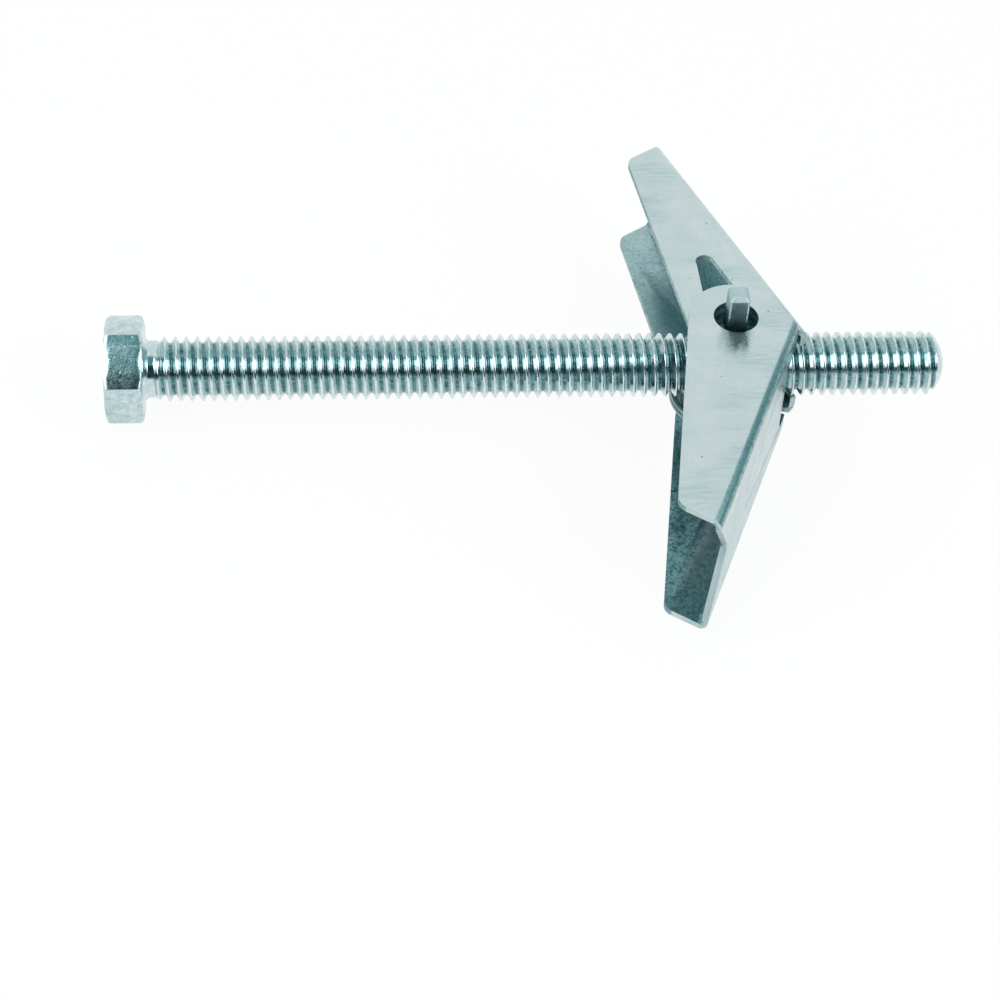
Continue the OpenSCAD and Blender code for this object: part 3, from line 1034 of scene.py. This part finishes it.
class TOGGLE_OT_spring(bpy.types.Operator):
    """Builds the torsion spring in two halves, one for each wing"""

    bl_idname = "toggle.spring"
    bl_label = "Torsion spring"

    def execute(self, context):
        sizes = context.scene.toggle_spring
        sideways = math.cos(WING_LEAN)
        headward = math.sin(WING_LEAN)
        rise = sizes.leg_rise - sizes.coil_radius + sizes.coil_shift * sideways
        start = WING_LEAN + math.atan2(rise, sizes.leg_length)
        sweep = TURN * sizes.turns + 2 * start
        pitch = sizes.wire + sizes.turn_gap
        top = -THREAD_RADIUS - sizes.coil_gap - sizes.wire / 2
        drop = pitch * sweep / TURN
        coil_points = int(sizes.steps_round * sweep / TURN / 2)
        tree = spring_tree()
        material = spring_steel()
        for wing, side in (("inner_wing", 1), ("outer_wing", -1)):
            leg_x = PIVOT.x - sizes.leg_length * headward + sizes.leg_rise * sideways
            leg_y = side * (sizes.leg_length * sideways + sizes.leg_rise * headward)
            mesh = grown_mesh(wing + "_spring", tree, {
                "Wire": sizes.wire,
                "Coil Radius": sizes.coil_radius,
                "Centre X": PIVOT.x - sizes.coil_shift,
                "Start Angle": side * start,
                "End Angle": side * (start - sweep / 2),
                "Start Height": top if side > 0 else top - drop,
                "End Height": top - drop / 2,
                "Leg X": leg_x,
                "Leg Y": leg_y,
                "Points": coil_points + LEG_STEPS,
                "Leg Points": LEG_STEPS,
                "Material": material,
            })
            mark_rims(mesh)
            piece = add_piece("spring_half_" + wing.split("_")[0], mesh)
            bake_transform(piece)
            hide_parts("spring")
        return {"FINISHED"}


# Stage


def end_in_mix(tree, amount, first, second, output):
    """Ends a tree in a mix of two shaders."""
    blend = tree.nodes.new("ShaderNodeMixShader")
    for value, socket in zip((amount, first.outputs[0], second.outputs[0]), blend.inputs):
        tree.links.new(value, socket)
    tree.links.new(blend.outputs[0], tree.nodes[output].inputs["Surface"])


def floor_material():
    """A pale floor that a camera and a reflection see as almost white, with soft shadows kept."""
    material = bpy.data.materials.new("Pale floor")
    material.use_nodes = True
    tree = material.node_tree
    shader = tree.nodes["Principled BSDF"]
    shader.inputs["Base Color"].default_value = (*bpy.context.scene.toggle_finish.floor, 1.0)
    shader.inputs["Roughness"].default_value = 0.9
    shader.inputs["Specular IOR Level"].default_value = 0.0
    white = tree.nodes.new("ShaderNodeEmission")
    white.inputs["Strength"].default_value = 1.0
    path = tree.nodes.new("ShaderNodeLightPath")
    formula = Formula(tree)
    seen = formula.most(formula.mul(path.outputs["Is Camera Ray"], 0.93),
                        formula.mul(path.outputs["Is Glossy Ray"], 0.94))
    end_in_mix(tree, seen, shader, white, "Material Output")
    return material


def build_floor():
    """A wide floor that touches the lowest corner of the head and the end of the lower lug."""
    lug = cad_points("nut")
    lug_end = lug[lug[:, 2] < lug[:, 2].min() + 0.01 * MM]
    lug_x = float(lug_end[:, 0].max())
    lug_z = float(lug_end[:, 2].min())
    head = SCREW[SCREW[:, 0] < 0]
    head_low = head[int(head[:, 2].argmin())]
    slope = math.atan2(float(head_low[2]) - lug_z, lug_x - float(head_low[0]))
    mesh = bpy.data.meshes.new("floor")
    corners = []
    for x, y in ((-1, -1), (1, -1), (1, 1), (-1, 1)):
        z = lug_z - (x * FLOOR_HALF - lug_x) * math.tan(slope)
        corners.append((x * FLOOR_HALF, y * FLOOR_HALF, z))
    mesh.from_pydata(corners, [], [(0, 1, 2, 3)])
    mesh.materials.append(floor_material())
    floor = add_piece("floor", mesh)


def between(formula, angle, low, high, soft=False):
    """Rises from 0 at one angle in degrees to 1 at another."""
    return formula.ramp(angle, math.radians(low), math.radians(high), soft)


def build_world():
    """A pale studio with a dark front and dull ends, and a white background for the camera."""
    world = bpy.data.worlds.new("Studio")
    bpy.context.scene.world = world
    world.use_nodes = True
    tree = world.node_tree
    formula = Formula(tree)
    surround = tree.nodes["Background"]
    split = tree.nodes.new("ShaderNodeSeparateXYZ")
    tree.links.new(tree.nodes.new("ShaderNodeTexCoord").outputs["Generated"], split.inputs[0])
    side, depth, height = split.outputs
    turned = formula.math("ARCTAN2", height, depth)
    front = formula.mul(between(formula, turned, 78, 88, soft=True),
                        formula.sub(1.0, between(formula, turned, 171, 178)))
    ends = formula.mul(formula.ramp(formula.math("ABSOLUTE", side), 0.28, 0.48, soft=True),
                       formula.sub(1.0, formula.ramp(height, 0.55, 0.75, soft=True)))
    ends = formula.mul(ends, formula.sub(1.0, formula.ramp(depth, 0.55, 0.70, soft=True)))
    finish = bpy.context.scene.toggle_finish
    room = colour_mix(tree, ends, ROOM_COLOUR, (*finish.end_card, 1.0))
    low_front = between(formula, turned, 118, 123, soft=True)
    card = colour_mix(tree, low_front, (*finish.front_card, 1.0), (*finish.dark_card, 1.0))
    tree.links.new(colour_mix(tree, front, room, card), surround.inputs["Color"])
    white = tree.nodes.new("ShaderNodeBackground")
    path = tree.nodes.new("ShaderNodeLightPath")
    white.inputs["Color"].default_value = (1.0, 1.0, 1.0, 1.0)
    end_in_mix(tree, path.outputs["Is Camera Ray"], surround, white, "World Output")


def soft_box(name, place, width, depth, power):
    """A rectangular area lamp that shines on the middle of the part."""
    lamp = bpy.data.lights.new(name, "AREA")
    lamp.shape = "RECTANGLE"
    lamp.size = width
    lamp.size_y = depth
    lamp.energy = power
    obj = new_object(name, lamp)
    obj.location = place
    obj.rotation_mode = "QUATERNION"
    obj.rotation_quaternion = (Vector(MIDDLE) - place).to_track_quat("-Z", "Y")


def build_camera():
    """The camera, from above the outer wing's side, over the head end."""
    data = bpy.data.cameras.new("Camera")
    data.lens = CAMERA_LENS
    data.sensor_width = 36
    data.shift_x, data.shift_y = CAMERA_SHIFT
    data.clip_start = 0.01
    data.clip_end = 10
    camera = new_object("Camera", data)
    right = Vector(CAMERA_RIGHT).normalized()
    back = Vector(CAMERA_BACK).normalized()
    up = back.cross(right)
    turned = Matrix((right, up, back)).transposed()
    camera.matrix_world = Matrix.Translation(CAMERA_PLACE) @ turned.to_4x4()
    bpy.context.scene.camera = camera


class TOGGLE_OT_stage(bpy.types.Operator):
    """Builds the floor, the lamps, the world and the camera"""

    bl_idname = "toggle.stage"
    bl_label = "Stage"

    def execute(self, context):
        build_floor()
        build_world()
        for name, (side, low, high) in SOFT_BOXES.items():
            turned = math.radians((low + high) / 2)
            level = math.cos(BOX_ASIDE)
            place = Vector(MIDDLE) + BOX_DISTANCE * Vector((
                side * math.sin(BOX_ASIDE), level * math.cos(turned), level * math.sin(turned),
            ))
            width = 2 * BOX_DISTANCE * math.tan(BOX_HALF_WIDTH)
            tall = 2 * BOX_DISTANCE * math.tan(math.radians((high - low) / 2))
            power = context.scene.toggle_finish.lamp_level * math.pi * width * tall
            soft_box(name, place, width, tall, power)
        build_camera()
        context.scene.view_settings.view_transform = "Standard"
        return {"FINISHED"}


class TOGGLE_PT_pieces(bpy.types.Panel):
    """Lists the pieces of the toggle bolt and their sizes"""

    bl_label = "Toggle bolt"
    bl_idname = "TOGGLE_PT_pieces"
    bl_space_type = "VIEW_3D"
    bl_region_type = "UI"
    bl_category = "Toggle Bolt"

    def draw(self, context):
        for operator in OPERATORS:
            self.layout.operator(operator.bl_idname)
        for name in GROUPS:
            group = getattr(context.scene, name)
            for label in group.__annotations__:
                self.layout.prop(group, label)


GROUPS = {
    "toggle_screw": ToggleScrewSizes,
    "toggle_sheet": ToggleSheetSizes,
    "toggle_spring": ToggleSpringSizes,
    "toggle_finish": ToggleFinish,
}
OPERATORS = (TOGGLE_OT_stage, TOGGLE_OT_screw, TOGGLE_OT_wings, TOGGLE_OT_nut, TOGGLE_OT_spring)


def register():
    """Registers the size groups, the operators and the panel."""
    for name, group in GROUPS.items():
        bpy.utils.register_class(group)
        setattr(bpy.types.Scene, name, bpy.props.PointerProperty(type=group))
    for operator in OPERATORS:
        bpy.utils.register_class(operator)
    bpy.utils.register_class(TOGGLE_PT_pieces)


def unregister():
    """Takes back what register adds."""
    bpy.utils.unregister_class(TOGGLE_PT_pieces)
    for operator in reversed(OPERATORS):
        bpy.utils.unregister_class(operator)
    for name, group in reversed(GROUPS.items()):
        delattr(bpy.types.Scene, name)
        bpy.utils.unregister_class(group)


def main():
    """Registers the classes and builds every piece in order."""
    register()
    bpy.ops.toggle.stage()
    bpy.ops.toggle.screw()
    bpy.ops.toggle.wings()
    bpy.ops.toggle.nut()
    bpy.ops.toggle.spring()


if __name__ == "__main__":
    main()
